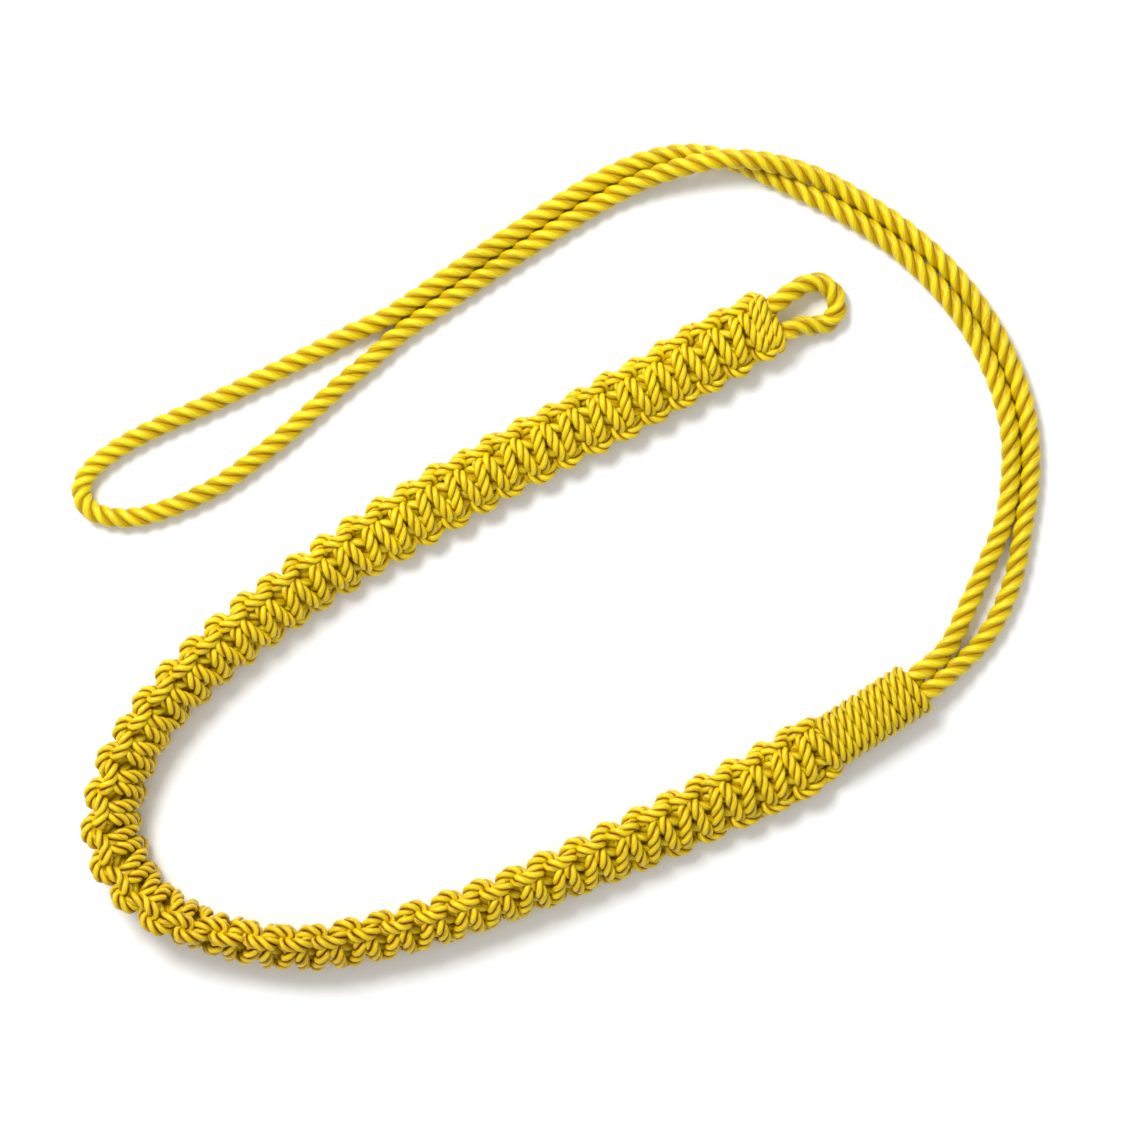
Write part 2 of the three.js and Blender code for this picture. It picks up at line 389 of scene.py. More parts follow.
def off_the_middle(tree, given, strand_number, full_radius):
    """The way from the cord's middle to a point of a strand."""
    along = field(tree, "GeometryNodeSplineParameter", "Length")
    turns = field_math(tree, "DIVIDE", along, given["Lay Length"])
    turns = field_math(tree, "ADD", turns, path_note(tree, "extra_turns"))
    turns = field_math(tree, "ADD", turns, field_math(tree, "DIVIDE", strand_number, float(STRANDS)))
    turns = field_math(tree, "ADD", turns, given["Start Turn"])
    normal = field(tree, "GeometryNodeInputNormal", "Normal")
    tangent = field(tree, "GeometryNodeInputTangent", "Tangent")
    offset = add_node(tree, "ShaderNodeVectorMath", "off the middle", operation="SCALE")
    tree.links.new(turned(tree, normal, turns, tangent), offset.inputs["Vector"])
    tree.links.new(field_math(tree, "MULTIPLY", full_radius, OFFSET_SHARE), offset.inputs["Scale"])
    return offset.outputs["Vector"]


def place_on_strand(tree, given, run, way_round):
    """Coordinates that turn with the threads: two across the strand, and the third along it."""
    twist = field_math(tree, "MULTIPLY", run, given["Thread Turns"])
    lengthwise = tree.nodes.new("ShaderNodeCombineXYZ")
    tree.links.new(run, lengthwise.inputs["Z"])
    place = add_node(tree, "ShaderNodeVectorMath", "place on the strand", operation="ADD")
    tree.links.new(turned(tree, way_round, twist), place.inputs[0])
    tree.links.new(lengthwise.outputs["Vector"], place.inputs[1])
    return place.outputs["Vector"]


def laying_tree():
    """Copies a path three times, winds the copies round it and makes a strand of each."""
    tree = bpy.data.node_groups.new("lay a cord", "GeometryNodeTree")
    link = tree.links.new
    tree.interface.new_socket("Path", in_out="INPUT", socket_type="NodeSocketGeometry")
    for name in ("Cord Diameter", "Lay Length", "Start Turn", "Thread Turns"):
        tree.interface.new_socket(name, in_out="INPUT", socket_type="NodeSocketFloat")
    tree.interface.new_socket("Sides", in_out="INPUT", socket_type="NodeSocketInt")
    tree.interface.new_socket("Finish", in_out="INPUT", socket_type="NodeSocketMaterial")
    tree.interface.new_socket("Cord", in_out="OUTPUT", socket_type="NodeSocketGeometry")
    given = tree.nodes.new("NodeGroupInput").outputs
    here = field(tree, "GeometryNodeInputPosition", "Position")
    fullness = path_note(tree, "fullness")
    radius = field_math(tree, "MULTIPLY", given["Cord Diameter"], 0.5)
    full_radius = field_math(tree, "MULTIPLY", radius, fullness)

    curve = tree.nodes.new("GeometryNodeMeshToCurve")
    link(given["Path"], curve.inputs["Mesh"])
    copies = add_node(
        tree, "GeometryNodeDuplicateElements", "strands", domain="SPLINE", inputs={"Amount": STRANDS},
    )
    link(curve.outputs["Curve"], copies.inputs["Geometry"])
    bare, middle = kept(tree, copies.outputs["Geometry"], "VECTOR", "Middle", here)
    strand = tree.nodes.new("GeometryNodeSetPosition")
    link(bare, strand.inputs["Geometry"])
    link(
        off_the_middle(tree, given, copies.outputs["Duplicate Index"], full_radius),
        strand.inputs["Offset"],
    )
    along = field(tree, "GeometryNodeSplineParameter", "Length")
    wound, run = kept(tree, strand.outputs["Geometry"], "FLOAT", "Run", along)
    thickness = tree.nodes.new("GeometryNodeSetCurveRadius")
    link(wound, thickness.inputs["Curve"])
    link(fullness, thickness.inputs["Radius"])

    ring = tree.nodes.new("GeometryNodeCurvePrimitiveCircle")
    link(given["Sides"], ring.inputs["Resolution"])
    link(field_math(tree, "MULTIPLY", radius, STRAND_SHARE), ring.inputs["Radius"])
    section, way_round = kept(tree, ring.outputs["Curve"], "VECTOR", "Round", here)
    sweep = add_node(tree, "GeometryNodeCurveToMesh", "strands swept", inputs={"Fill Caps": True})
    link(thickness.outputs["Curve"], sweep.inputs["Curve"])
    link(section, sweep.inputs["Profile Curve"])

    place = place_on_strand(tree, given, run, way_round)
    cord = noted(tree, sweep.outputs["Mesh"], "FLOAT_VECTOR", "thread_space", place)
    outwards = add_node(tree, "ShaderNodeVectorMath", "distance from the middle", operation="DISTANCE")
    link(here, outwards.inputs[0])
    link(middle, outwards.inputs[1])
    # how far out a point lies, which the shader turns into painted shade towards the grooves
    crown = field_math(tree, "DIVIDE", outwards.outputs["Value"], full_radius)
    cord = noted(tree, cord, "FLOAT", "crown", crown)

    smooth = tree.nodes.new("GeometryNodeSetShadeSmooth")
    link(cord, smooth.inputs["Geometry"])
    real = tree.nodes.new("GeometryNodeRealizeInstances")
    link(smooth.outputs["Geometry"], real.inputs["Geometry"])
    finished = tree.nodes.new("GeometryNodeSetMaterial")
    link(real.outputs["Geometry"], finished.inputs["Geometry"])
    link(given["Finish"], finished.inputs["Material"])
    link(finished.outputs["Geometry"], tree.nodes.new("NodeGroupOutput").inputs["Cord"])
    return tree


lay_a_cord = laying_tree()
print("nodes in the laying tree:", len(lay_a_cord.nodes))

# %% From path to piece
THICK_LAY = 13.6 * MM
THIN_LAY = 8.4 * MM
# how often the threads turn in a metre of a strand, with a sign for the way round
THICK_THREAD_TURNS = -90
THIN_THREAD_TURNS = -120
# the sides of a strand's section, fewer where it is thin or hidden
EYE_SIDES = 16
LOOP_SIDES = 14
THIN_SIDES = 10
CORE_SIDES = 8


def path_object(name, lines, extra_turns, fullness):
    """Bare edges along one or more lines, with the two notes that the tree reads at each point."""
    mesh = bpy.data.meshes.new(name)
    starts = np.cumsum([0] + [len(line) for line in lines])
    edges = [(i, i + 1) for start, end in zip(starts, starts[1:]) for i in range(start, end - 1)]
    mesh.from_pydata(np.vstack(lines).tolist(), edges, [])
    for note, values in (("extra_turns", extra_turns), ("fullness", fullness)):
        attribute = mesh.attributes.new(note, "FLOAT", "POINT")
        attribute.data.foreach_set("value", np.zeros(starts[-1]) + values)
    piece = bpy.data.objects.new(name, mesh)
    bpy.context.scene.collection.objects.link(piece)
    return piece


def lay(
    name, lines, diameter, lay_length, thread_turns, sides, finish,
    start_turn=0.0, extra_turns=0, fullness=1,
):
    """A laid cord along each line, as one plain mesh."""
    source = path_object(name + "_path", lines, extra_turns, fullness)
    modifier = source.modifiers.new("lay", "NODES")
    modifier.node_group = lay_a_cord
    values = {
        "Cord Diameter": diameter,
        "Lay Length": lay_length,
        "Start Turn": start_turn,
        "Thread Turns": float(thread_turns),
        "Sides": sides,
        "Finish": finish,
    }
    for item in lay_a_cord.interface.items_tree:
        if item.name in values:
            modifier[item.identifier] = values[item.name]
    graph = bpy.context.evaluated_depsgraph_get()
    mesh = bpy.data.meshes.new_from_object(source.evaluated_get(graph))
    mesh.name = name
    bpy.data.objects.remove(source)
    piece = bpy.data.objects.new(name, mesh)
    bpy.context.scene.collection.objects.link(piece)
    print(name, "has", sum(len(face.vertices) - 2 for face in mesh.polygons), "triangles")
    return piece


# %% [markdown]
# The long loop and the button eye are laid first, because they are the free cords: each has to be
# as long as its solid. Both run a little way into the wrapping that holds them, so that no cut end
# shows. Where the two legs run side by side they lie against each other, so they are drawn together
# there. In the bight the cord is bent hard, which packs its strands closer.

# %% The long loop and the button eye
TUCKED_IN = 3 * MM
LOOP_STEP = 0.9 * MM
EYE_STEP = 0.45 * MM
# the legs touch when their middles are so far apart. They are drawn together fully where they are
# nearer than LEGS_NEAR, and not at all where they are further than LEGS_APART.
LEGS_TOUCH = 5.1 * MM
LEGS_NEAR = 7 * MM
LEGS_APART = 8.2 * MM
# in points of the line: what counts as a leg's own stretch, and how far a move is smoothed over
OWN_STRETCH = 40
SMOOTHED_OVER = 15
# how many turns more the strands make round the bight, and over what length
BIGHT_TWIST = 0.6
BIGHT_LENGTH = 26 * MM
EYE_START_TURN = 0.3


def led_on(end, inner_point):
    """A place a few millimetres past the end of a line, level with it."""
    way = end - inner_point
    place = end + way / np.linalg.norm(way) * TUCKED_IN
    place[2] = end[2]
    return place


def tucked_ends(line):
    """The line with both its ends led straight on."""
    return np.vstack([led_on(line[0], line[3]), line, led_on(line[-1], line[-4])])


def legs_drawn_together(line):
    """The line with its two legs moved sideways to touch where they nearly do."""
    gap = line[None] - line[:, None]
    apart = np.linalg.norm(gap, axis=2)
    order = np.arange(len(line))
    apart[np.abs(order[:, None] - order[None]) < OWN_STRETCH] = np.inf
    nearest = apart.argmin(axis=1)
    distance = apart[order, nearest]
    towards = gap[order, nearest] / distance[:, None]
    towards[:, 2] = 0
    share = np.clip((LEGS_APART - distance) / (LEGS_APART - LEGS_NEAR), 0, 1)
    move = towards * (np.clip(distance - LEGS_TOUCH, 0, None) / 2 * share)[:, None]
    window = np.hanning(SMOOTHED_OVER)
    window /= window.sum()
    move = np.stack([np.convolve(move[:, axis], window, mode="same") for axis in range(3)], axis=1)
    print("legs moved together by up to, in mm:", round(1000 * np.linalg.norm(move, axis=1).max(), 2))
    return line + move


loop_path = even_steps(tucked_ends(loop_line), LOOP_STEP)
loop_path = even_steps(legs_drawn_together(loop_path), LOOP_STEP)
eye_path = even_steps(tucked_ends(eye_line), EYE_STEP)
bight_at = lengths_along(loop_path)[loop_path[:, 0].argmin()]
from_bight = (lengths_along(loop_path) - bight_at) / (BIGHT_LENGTH / 2)
bight_twist = BIGHT_TWIST * (np.tanh(from_bight) + 1) / 2
long_loop = lay(
    "long_loop_cord", [loop_path],
    THICK_CROWNS, THICK_LAY, THICK_THREAD_TURNS, LOOP_SIDES, thick_finish, extra_turns=bight_twist,
)
button_eye = lay(
    "button_eye_cord", [eye_path],
    THICK_CROWNS, THICK_LAY, THICK_THREAD_TURNS, EYE_SIDES, thick_finish, start_turn=EYE_START_TURN,
)

# %% [markdown]
# The band follows one middle line, the spine. A knot is drawn once, flat, in the band's own
# measures: along it, across it and through it. A flat band can't bend edgeways, so it rolls over on
# its side as it goes round the curl. A few stations along it say how far it has rolled, how its
# knots lean, and how deep, wide and full they are there, as far as the picture shows it. The same
# frame then carries every knot to its place.

# %% The band's middle line
SPINE_ROUTE = [
    (56.4, 61.4),
    (42, 53.3),
    (15.2, 38.3),
    (-12.1, 24.1),
    (-38.8, 9),
    (-64.5, -7.8),
    (-88.8, -26.7),
    (-102.9, -41.8),
    (-110.9, -56),
    (-113, -71.2),
    (-105, -86.4),
    (-87.4, -96.2),
    (-63.4, -100),
    (-33.4, -94.2),
    (2.7, -80.9),
    (30.7, -68.4),
    (58.1, -55),
    (69.9, -47.6),
    (93.5, -32.4),
]
# place along the spine in mm, roll in degrees, lean as a share of one knot, then shares of the
# tightened knot's own size: how deep it is, how wide, how far every other edge loop stands out, and
# how full the cord is
PLACE, ROLL, LEAN, DEPTH, WIDTH, STANDS_OUT, FULLNESS = range(7)
BAND_STATIONS = np.array([
    (0, 8, -0.4, 1, 0.98, 0.06, 1),
    (24, 8, -0.1, 1, 1.02, 0.07, 1),
    (60, 12, -0.1, 1, 0.95, 0.07, 1),
    (102, 16, -0.1, 1, 0.95, 0.08, 1),
    (130, 32, 0, 1, 0.95, 0.08, 1.02),
    (166, 46, 0.1, 1.05, 0.96, 0.09, 1.06),
    (190, 54, 0.2, 1.06, 0.96, 0.09, 1.1),
    (230, 54, 0.25, 1.15, 1, 0.12, 1.16),
    (248, 72, 0.28, 1.1, 0.97, 0.06, 1.22),
    (266, 110, 0.3, 1, 0.96, 0, 1.25),
    (294, 121, 0.34, 1, 0.96, -0.06, 1.2),
    (322, 127, 0.34, 1, 0.94, -0.08, 1.1),
    (346, 133, 0.34, 1, 0.94, -0.08, 1.06),
    (384, 152, 0.34, 1, 0.96, -0.08, 1.06),
    (420, 176, 0.3, 1, 1.02, -0.08, 1.06),
    (429, 180, 0, 1, 1.04, -0.03, 1.06),
])
SPINE_STEP = 0.5 * MM
spine_line = even_steps(smooth_line(np.array([(x, y, 0) for x, y in SPINE_ROUTE]) * MM), SPINE_STEP)
spine_places = lengths_along(spine_line)
spine_length = spine_places[-1]
print("spine in mm:", round(1000 * spine_length, 1))

# %% The wrap, the knots and the whipping share it out
KNOTS = 49
WRAP_LENGTH = 5.6 * MM
WHIPPING_LENGTH = 29.8 * MM
BEND_KNOT = 28
BEND_PLACE = 240.8 * MM
LAST_KNOT_FROM_END = 28.4 * MM
# number of the knot, and how far along the spine its middle lies. The first knot's is 0, and the
# wrap ends half a knot before it.
KNOT_PLACES = np.array([
    (-0.5, WRAP_LENGTH),
    (BEND_KNOT, BEND_PLACE),
    (KNOTS, spine_length - LAST_KNOT_FROM_END),
])
# the knot as it is pulled tight: how long it is, and how far its edge loops reach
KNOT = 8.5 * MM
EDGE_REACH = 9.2 * MM
knots_apart = np.diff(KNOT_PLACES[:, 1]) / np.diff(KNOT_PLACES[:, 0])
print("one knot in mm, before and after the bend:", (knots_apart / MM).round(2))


def on_spine(places, table):
    """A table's rows at places along the spine, and its first or last row past the ends."""
    return np.stack([np.interp(places, spine_places, table[:, axis]) for axis in range(3)], axis=1)


spine_directions = np.gradient(spine_line, axis=0)
spine_directions /= np.linalg.norm(spine_directions, axis=1)[:, None]


def station(places, column):
    """One column of the stations at places along the spine."""
    return np.interp(places, BAND_STATIONS[:, PLACE] * MM, BAND_STATIONS[:, column])


# %% [markdown]
# A square knot tied by hand is two half knots. The front cord crosses the core to the right, dips
# under the back cord at the edge, and comes back to the left; the back cord does the same behind.
# Drawn by eye, such a knot never looks tied, because its cords pass through each other or hang
# loose. So it is drawn roughly and then pulled tight: in every round each point moves towards the
# middle of its neighbours, which shortens the cord, and is pushed off whatever it touches, the two
# core cords and the other turns. Both cords have the same shape turned over, and a half knot is the
# mirror of the one before it, so only one half of one cord is worked on. The cords come out closer
# than they are thick, because soft cords press each other flat, and the core stands higher than it
# is wide, because the knots squeeze it from both sides.

# %% A half knot, roughly
# along as a share of one knot, across and through in mm, from the left edge loop to the right one
ROUGH_HALF_KNOT = np.array([
    (0.00, -8.0, -1.2),
    (0.22, -7.6, -1.6),
    (0.30, -6.6, -0.4),
    (0.32, -5.2, 2.4),
    (0.30, -3.0, 3.8),
    (0.25, 0.0, 4.0),
    (0.20, 3.0, 3.8),
    (0.18, 5.2, 2.4),
    (0.20, 6.2, -0.4),
    (0.28, 7.4, -1.8),
    (0.50, 8.0, -1.2),
])
HALF_KNOT_POINTS = 40
# in mm: how far a core cord lies off the spine, half its width and half its height, and how near
# the middles of two turns may come
CORE_APART = 2.1
CORE_HALF = (2, 2.7)
CORDS_APART = 2.2
# how many points on either side don't push a point off, what share of the way it is pulled in each
# round, and how many rounds there are
OWN_POINTS = 10
PULL = 0.35
ROUNDS = 900


def both_cords(half, knot):
    """The front cord over one whole knot and the back cord, from half a knot of the front one."""
    front = np.vstack([half, half * (1, -1, 1) + (knot / 2, 0, 0)])
    return front, front * (1, -1, -1)


def pushed_off(points, others, skip_near):
    """How far each point has to move to keep clear of the points of other turns."""
    gap = points[:, None] - others[None]
    apart = np.linalg.norm(gap, axis=2)
    if skip_near is not None:
        apart = np.where(skip_near, CORDS_APART, apart)
    depth = np.clip(CORDS_APART - apart, 0, None) / 2
    touching = np.maximum((depth > 0).sum(axis=1), 1)
    return (gap / np.maximum(apart, 1e-6)[..., None] * depth[..., None]).sum(axis=1) / touching[:, None]


def pull_tight(half, knot):
    """Half of the front cord's knot after many rounds of shortening and pushing off."""
    own = np.arange(2 * HALF_KNOT_POINTS)
    row_points = np.arange(-2 * HALF_KNOT_POINTS, 4 * HALF_KNOT_POINTS)
    near = np.abs(own[:, None] - row_points[None]) < OWN_POINTS
    reach = np.array(CORE_HALF) + CORDS_APART / 2
    for _ in range(ROUNDS):
        front, back = both_cords(half, knot)
        row = (knot, 0, 0)
        before = np.vstack([front[-1:] - row, front[:-1]])
        after = np.vstack([front[1:], front[:1] + row])
        moved = front + PULL * ((before + after) / 2 - front)
        front_row = np.vstack([front - row, front, front + row])
        back_row = np.vstack([back - row, back, back + row])
        moved += pushed_off(front, front_row, near) + pushed_off(front, back_row, None)
        for side in (-1, 1):
            from_core = (moved[:, 1:] - (side * CORE_APART, 0)) / reach
            distance = np.linalg.norm(from_core, axis=1)[:, None]
            moved[:, 1:] = (side * CORE_APART, 0) + from_core / distance * np.maximum(distance, 1) * reach
        half = moved[:HALF_KNOT_POINTS]
    return half


# %% The knot pulled tight
knot_mm = KNOT / MM
drawn = ROUGH_HALF_KNOT * (knot_mm, 1, 1)
drawn_at = np.linspace(0, 1, len(drawn))
even_at = np.linspace(0, 1, HALF_KNOT_POINTS, endpoint=False)
rough = np.stack([np.interp(even_at, drawn_at, drawn[:, axis]) for axis in range(3)], axis=1)
front_knot, back_knot = both_cords(pull_tight(rough, knot_mm), knot_mm)
crest_point = front_knot[:HALF_KNOT_POINTS, 1].argmin()
crest = front_knot[crest_point, 0]
front_knot[:, 0] -= crest
back_knot[:, 0] -= crest
bars = front_knot[[HALF_KNOT_POINTS // 2, HALF_KNOT_POINTS * 3 // 2]]
print("places of the front cord's bars in shares of a knot:", (bars[:, 0] / knot_mm).round(2))
closed_knot = np.vstack([front_knot, front_knot[:1] + (knot_mm, 0, 0)])
print("cord in one knot in mm:", round(lengths_along(closed_knot)[-1], 1))
print("widest and deepest in mm:", front_knot[:, 1].max().round(2), front_knot[:, 2].max().round(2))

# %% [markdown]
# The band lies on the table, so its middle is as high as its lowest cord needs at each roll. That
# height comes from the knot itself. Where the band stands on one edge, its own weight presses the
# loops of that edge in. Where a cord would still go into the table, it is flattened against it.

# %% Carrying the knots to their places
THIN_CROWNS = 3.4 * MM
PRESSED_IN = 0.16
both_knots = np.vstack([front_knot, back_knot]) * MM


def pressed_edge(across, roll):
    """How far across the band its points lie, once the edge that it stands on is pressed in."""
    return across * np.where(across < 0, 1 - PRESSED_IN * np.sin(roll), 1)


def height_of_knots(roll, depth):
    """How high the middle of the knotted band is when it lies on the table, roll by roll."""
    roll = roll[:, None]
    across = pressed_edge(both_knots[:, 1], roll)
    lowest = across * np.sin(roll) + both_knots[:, 2] * depth[:, None] * np.cos(roll)
    return THIN_CROWNS / 2 - lowest.min(axis=1)


def carried(points, diameter, fixed_height=None):
    """Points in band measures at their places in the room, for a cord of a diameter, all in metres."""
    along, across_by, through_by = np.transpose(points)
    places = along + station(along, LEAN) * KNOT * across_by / (2 * EDGE_REACH)
    middle = on_spine(places, spine_line)
    direction = on_spine(places, spine_directions)
    middle += direction * (places - np.clip(places, 0, spine_length))[:, None]
    roll = np.radians(station(places, ROLL))
    depth = station(places, DEPTH)
    outwards = np.stack([direction[:, 1], -direction[:, 0], np.zeros(len(places))], axis=1)
    up = np.array([0, 0, 1])
    cos, sin = np.cos(roll)[:, None], np.sin(roll)[:, None]
    middle[:, 2] = height_of_knots(roll, depth) if fixed_height is None else fixed_height
    across = outwards * cos + up * sin
    through = -outwards * sin + up * cos
    carried_points = middle + across * across_by[:, None] + through * (depth * through_by)[:, None]
    carried_points[:, 2] = np.maximum(carried_points[:, 2], diameter / 2)
    return carried_points


flat_and_on_edge = height_of_knots(np.radians([0, 90]), np.array([1, 1]))
print("height of the middle, flat and on edge, in mm:", (flat_and_on_edge / MM).round(2))

# %% [markdown]
# The knots on the way to the bend were tied closer than those after it, so the place of a knot comes
# from its number through three measured places. No hand ties fifty knots alike, so half knots also
# lie a little early or late, and their edge loops stand out a little more or less. Both cords are
# moved by the same amounts, so that they stay clear of each other. On the edge that faces up nothing
# presses on the loops, so they open up. The first cords come out of the wrap at the band's two
# edges, and the last ones go in under the whipping, so each path is led on into them.

# %% The two working cords
# how far along the path is led on at its start and its end, and at what share of its way across
LED_IN = -1 * MM
LED_OUT = 4 * MM
LED_ACROSS = 0.3
# in points of the knot: how much sooner than an edge loop the path starts and ends
STARTS_EARLY = 8
ENDS_EARLY = 8
THIN_STEP = 0.8 * MM
# how far a half knot may lie off its place, and what share its loops and its face may stand out
EARLY_OR_LATE = 0.35 * MM
EDGE_UNEVEN = 0.05
FACE_UNEVEN = 0.05
SEED = 4
# how far across in mm the upper edge begins to open up, over how many mm, and by what share at most
OPENS_FROM = 4
OPENS_OVER = 2
UPPER_EDGE_OPENS = 0.45
BACK_CORD_START_TURN = 0.4

half_knots = np.arange(-2, KNOTS + 2, 0.5)
dice = np.random.default_rng(SEED)
early_or_late = dice.uniform(-EARLY_OR_LATE, EARLY_OR_LATE, len(half_knots))
outer_edge, inner_edge = dice.uniform(1 - EDGE_UNEVEN, 1 + EDGE_UNEVEN, (2, len(half_knots)))
upper_face = dice.uniform(1 - FACE_UNEVEN, 1 + FACE_UNEVEN, len(half_knots))


def row_of_knots(knot_points):
    """A cord over all the knots: the number of the knot that each point lies in, across and through."""
    rows = np.vstack([knot_points / (knot_mm, 1, 1) + (k, 0, 0) for k in range(-1, KNOTS + 1)])
    first = crest_point + HALF_KNOT_POINTS - STARTS_EARLY
    last = crest_point + (KNOTS + 1) * 2 * HALF_KNOT_POINTS - ENDS_EARLY
    return np.transpose(rows[first:last])


def knotted_cord(knot_points):
    """The path of a working cord in band measures, in metres, from the wrap to the whipping."""
    number, across, through = row_of_knots(knot_points)
    along = np.interp(number, KNOT_PLACES[:, 0], KNOT_PLACES[:, 1])
    along += np.minimum(number - KNOT_PLACES[0, 0], 0) * KNOT
    along += np.interp(number, half_knots, early_or_late)
    outer = np.interp(number, half_knots, outer_edge)
    inner = np.interp(number, half_knots, inner_edge)
    stands_out = station(along, STANDS_OUT)
    stands_out = np.where(across > 0, stands_out, np.maximum(stands_out, 0))
    across = across * np.where(across > 0, outer, inner) * station(along, WIDTH)
    across = across * (1 - stands_out * np.cos(2 * np.pi * number))
    roll = np.radians(station(along, ROLL))
    across = pressed_edge(across, roll)
    on_upper_edge = np.clip((across - OPENS_FROM) / OPENS_OVER, 0, 1)
    through = through * np.interp(number, half_knots, upper_face)
    through = through * (1 + UPPER_EDGE_OPENS * on_upper_edge * np.sin(roll) ** 2)
    points = np.column_stack([along, across * MM, through * MM])
    start = (points[0, 0] + LED_IN, points[0, 1] * LED_ACROSS, 0)
    end = (points[-1, 0] + LED_OUT, points[-1, 1] * LED_ACROSS, 0)
    return np.vstack([start, points, end])


def working_cord(name, knot_points, start_turn=0.0):
    """One of the two cords that are tied in knots, laid at its place."""
    points = even_steps(knotted_cord(knot_points), THIN_STEP)
    fullness = station(points[:, 0], FULLNESS)
    line = carried(points, THIN_CROWNS * fullness)
    return lay(
        name, [line],
        THIN_CROWNS, THIN_LAY, THIN_THREAD_TURNS, THIN_SIDES, thin_finish,
        start_turn=start_turn, fullness=fullness,
    )


front_cord = working_cord("front_working_cord", front_knot)
back_cord = working_cord("back_working_cord", back_knot, BACK_CORD_START_TURN)

# %% [markdown]
# Under the knots run the two core cords, the same thick cord. They show only as a darker glint
# between two bars, so they get fewer sides. At both ends they spread apart, and there the legs of
# the eye and of the loop take over.

# %% The core
CORE_POINTS = 340
CORE_STARTS = 3.6 * MM
CORE_STOPS_SHORT = 3 * MM
# how far a core cord lies off the spine at the two ends, and over what length it gets there
EYE_LEG_OFF = 3.76 * MM
LOOP_LEG_OFF = 2.6 * MM
EYE_SPREAD = 9 * MM
LOOP_SPREAD = 20 * MM
core_places = np.linspace(CORE_STARTS, spine_length - CORE_STOPS_SHORT, CORE_POINTS)
core_apart = np.interp(
    core_places,
    [0, EYE_SPREAD, spine_length - LOOP_SPREAD, spine_length],
    [EYE_LEG_OFF, CORE_APART * MM, CORE_APART * MM, LOOP_LEG_OFF],
)


def core_cord(side):
    """The middle line of the core cord on one side of the spine."""
    straight = np.stack([core_places, side * core_apart, np.zeros(len(core_places))], axis=1)
    return carried(straight, THICK_CROWNS)


core = lay(
    "core_cords", [core_cord(-1), core_cord(1)],
    THICK_CROWNS, THICK_LAY, THICK_THREAD_TURNS, CORE_SIDES, thick_finish,
)

# %% [markdown]
# The wrap and the whipping are the thin cord wound tightly round the core, turn against turn. Round
# two cords side by side a turn is a stadium, two half circles joined by straight lines, so the
# winding is worked out rather than drawn, and then made a little uneven. Each end dives in between
# the core cords, as it does when the tail is pulled under the turns. The wrap is one turn round the
# lower leg of the eye and two round both legs.

# %% Winding a cord round the core
TURN_POINTS = 44
# how far a turn wanders along the core, and what share of its size it stands out
WOUND_UNEVEN = (0.2 * MM, 0.015)


def on_stadium(distance, straight, radius):
    """Where one comes to, walking a distance round a stadium from the foot of its right half circle."""
    half_circle = np.pi * radius
    if distance < half_circle:
        turn = distance / radius - np.pi / 2
        return straight + radius * np.cos(turn), radius * np.sin(turn)
    if distance < half_circle + 2 * straight:
        return straight - (distance - half_circle), radius
    if distance < 2 * half_circle + 2 * straight:
        turn = (distance - half_circle - 2 * straight) / radius + np.pi / 2
        return -straight + radius * np.cos(turn), radius * np.sin(turn)
    return -straight + (distance - 2 * half_circle - 2 * straight), -radius


def winding(first_place, turns, pitch, half_width, half_depth, middle=0.0, hidden_side=-1):
    """A cord wound round the core, in band measures. It starts and ends on the hidden side."""
    turned_by = np.linspace(0, turns, int(turns * TURN_POINTS))
    straight = half_width - half_depth
    rim = 2 * np.pi * half_depth + 4 * straight
    outline = np.array([on_stadium(share * rim, straight, half_depth) for share in turned_by % 1])
    quarter_turns = np.arange(0, turns + 0.5, 0.25)
    along_more, out_more = dice.uniform(-1, 1, (2, len(quarter_turns))) * np.array(WOUND_UNEVEN)[:, None]
    outline *= (1 + np.interp(turned_by, quarter_turns, out_more))[:, None]
    along = first_place + pitch * turned_by + np.interp(turned_by, quarter_turns, along_more)
    wound = np.stack([along, outline[:, 0] + middle, outline[:, 1] * -hidden_side], axis=1)
    return np.vstack([(wound[0, 0], middle, 0), wound, (wound[-1, 0], middle, 0)])


# %% The wrap and the whipping
WRAP_CROWNS = 3 * MM
WRAP_HALF_WIDTH = 7.7 * MM
WHIPPING_CROWNS = 3.1 * MM
WHIPPING_HALF_WIDTH = 7.5 * MM
WHIPPING_LAY = 9.4 * MM
WHIPPING_TURNS = 10
HALF_DEPTH = CORE_HEIGHT * MM - WHIPPING_CROWNS / 2
LOWER_LEG = -3.5 * MM
LEG_REACH = 3.9 * MM
WOUND_STEP = 0.6 * MM


def wound_cord(points, crowns):
    """A winding in band measures, at its place in the room."""
    return even_steps(carried(points, crowns, CORE_HEIGHT * MM), WOUND_STEP)


leg_turn = winding(
    first_place=1.3 * MM,
    turns=1,
    pitch=0.6 * MM,
    half_width=LEG_REACH,
    half_depth=LEG_REACH,
    middle=LOWER_LEG,
)
both_legs_turns = winding(
    first_place=2.5 * MM,
    turns=2,
    pitch=2.1 * MM,
    half_width=WRAP_HALF_WIDTH - WRAP_CROWNS / 2,
    half_depth=HALF_DEPTH,
)
whipping_points = winding(
    first_place=spine_length - WHIPPING_LENGTH + WHIPPING_CROWNS / 2,
    turns=WHIPPING_TURNS,
    pitch=(WHIPPING_LENGTH - WHIPPING_CROWNS) / WHIPPING_TURNS,
    half_width=WHIPPING_HALF_WIDTH - WHIPPING_CROWNS / 2,
    half_depth=HALF_DEPTH,
    hidden_side=1,
)
eye_wrap = lay(
    "eye_wrap_turns", [wound_cord(points, WRAP_CROWNS) for points in (leg_turn, both_legs_turns)],
    WRAP_CROWNS, THIN_LAY, THIN_THREAD_TURNS, THIN_SIDES, thin_finish,
)
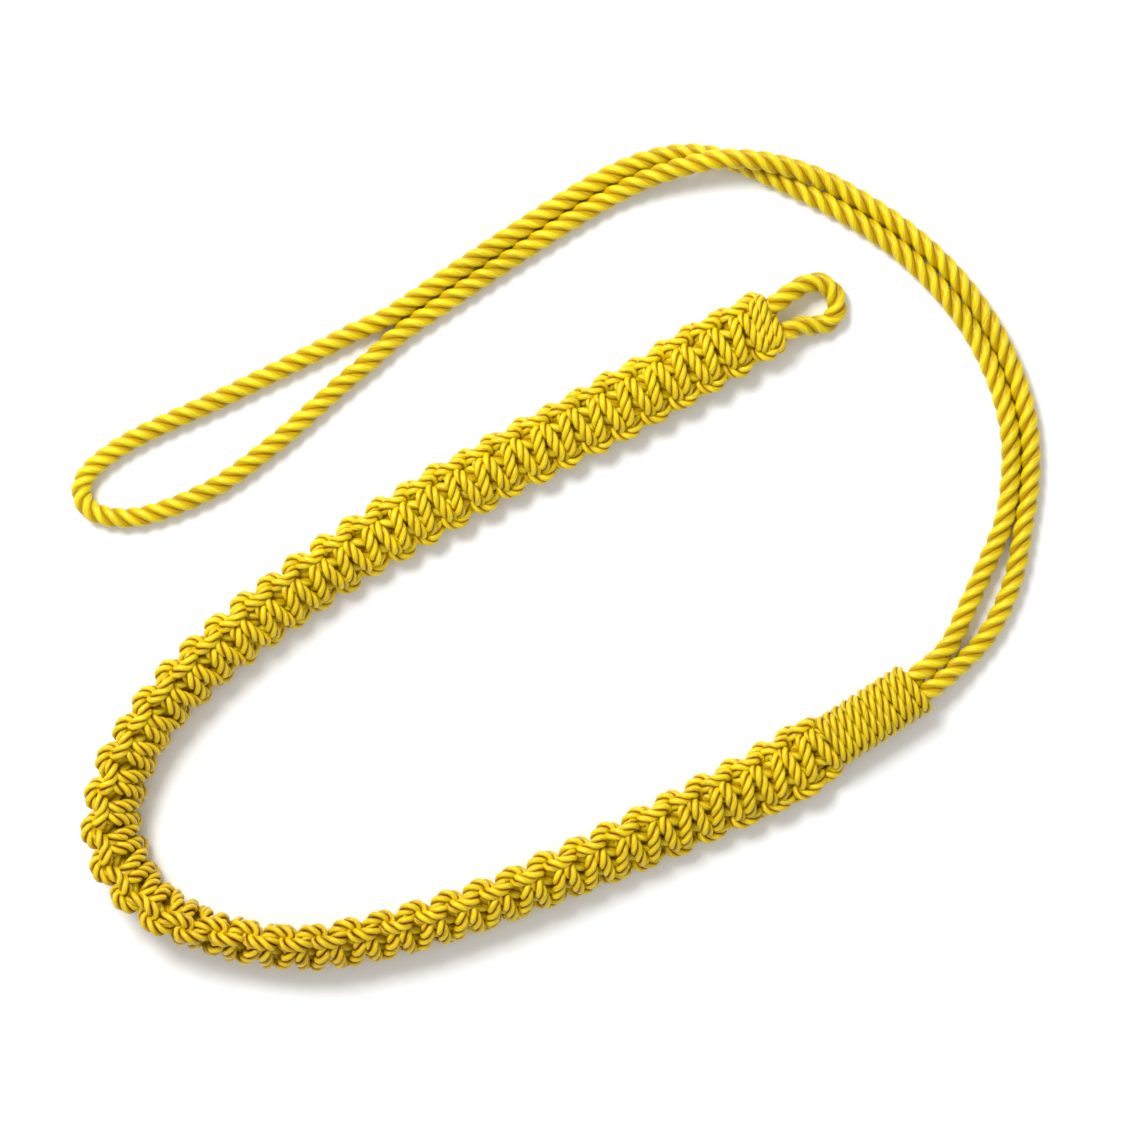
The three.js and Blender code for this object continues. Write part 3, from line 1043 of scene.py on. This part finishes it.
whipping = lay(
    "whipping_turns", [wound_cord(whipping_points, WHIPPING_CROWNS)],
    WHIPPING_CROWNS, WHIPPING_LAY, THIN_THREAD_TURNS, THIN_SIDES, whipping_shade_finish,
)

# %% [markdown]
# The last step puts each piece on the body and hides the solid that it stands for. Everything rides
# on one body, because a cord has no joints.

# %% What each piece stands for
for piece, node, slot in (
    (long_loop, "long_loop", "laid_cord"),
    (button_eye, "button_eye", "laid_cord"),
    (core, "knotted_band", "laid_cord"),
    (front_cord, "knotted_band", "knotted_cord"),
    (back_cord, "knotted_band", "knotted_cord"),
    (eye_wrap, "eye_wrap", "knotted_cord"),
    (whipping, "whipping", "knotted_cord"),
):
    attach(piece, "root")
    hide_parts(node)

for piece, path in ((long_loop, loop_path), (button_eye, eye_path)):
    print(piece.name, "is a free cord of", round(1000 * lengths_along(path)[-1], 1), "mm")

# %% [markdown]
# The lanyard lies on a plain white table under soft light. A large soft box to the upper left gives
# each strand its bright ridge, and a pale sky fills the shadows.

# %% Table and light
TABLE_REACH = 3
TABLE_WHITE = (0.9, 0.9, 0.9, 1)
TABLE_ROUGHNESS = 0.8
KEY_PLACE = (-0.48, 0.63, 1)
KEY_SIZE = 0.5
KEY_POWER = 16.5
SKY_WHITE = (1, 1, 1, 1)
SKY_STRENGTH = 0.69

table_mesh = bpy.data.meshes.new("table")
corners = [(x * TABLE_REACH, y * TABLE_REACH, 0) for x, y in ((-1, -1), (1, -1), (1, 1), (-1, 1))]
table_mesh.from_pydata(corners, [], [(0, 1, 2, 3)])
table = bpy.data.objects.new("table", table_mesh)
bpy.context.scene.collection.objects.link(table)
white = bpy.data.materials.new("white table")
white.use_nodes = True
white_shader = white.node_tree.nodes["Principled BSDF"]
white_shader.inputs["Base Color"].default_value = TABLE_WHITE
white_shader.inputs["Roughness"].default_value = TABLE_ROUGHNESS
table_mesh.materials.append(white)


def soft_box(name, place, size, power):
    """A square lamp that points at the middle of the table."""
    light = bpy.data.lights.new(name, "AREA")
    light.size = size
    light.energy = power
    box = bpy.data.objects.new(name, light)
    box.location = place
    box.rotation_euler = (-Vector(place)).to_track_quat("-Z", "Y").to_euler()
    bpy.context.scene.collection.objects.link(box)


soft_box("key", KEY_PLACE, KEY_SIZE, KEY_POWER)
world = bpy.data.worlds.new("pale sky")
bpy.context.scene.world = world
world.use_nodes = True
sky = world.node_tree.nodes["Background"]
sky.inputs["Color"].default_value = SKY_WHITE
sky.inputs["Strength"].default_value = SKY_STRENGTH
print("lamp to the middle of the table in m:", round(Vector(KEY_PLACE).length, 2))
